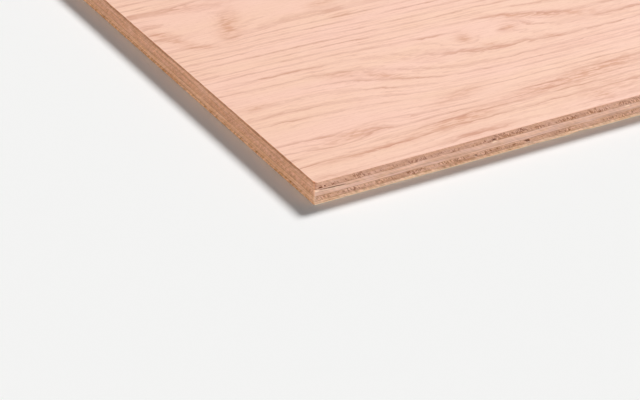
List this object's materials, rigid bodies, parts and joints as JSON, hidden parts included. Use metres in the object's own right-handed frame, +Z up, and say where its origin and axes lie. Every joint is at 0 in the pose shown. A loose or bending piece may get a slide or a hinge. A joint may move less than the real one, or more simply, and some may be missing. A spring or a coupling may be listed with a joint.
{
  "type": "plywood sheet",
  "caption": "Full sheet of hardwood-faced plywood, lying flat with its good face up; glued-up plies show on its sawn edges, with small voids, a corner split and saw chips.",
  "frame": {"origin": "centre of the underside of the back, on the floor that the sheet lies on", "axes": "+X along the sheet's length and its face grain, +Y across the sheet, +Z up out of the good face"},
  "size_m": [2.4384, 1.2192, 0.0183],
  "materials": {
    "face_wood": "matte",
    "crossband_wood": "matte",
    "core_wood": "matte",
    "back_wood": "matte"
  },
  "bodies": {
    "root": {"face_veneer": "face_wood", "upper_crossband": "crossband_wood", "core_ply": "core_wood", "lower_crossband": "crossband_wood", "back_veneer": "back_wood"}
  },
  "joints": []
}
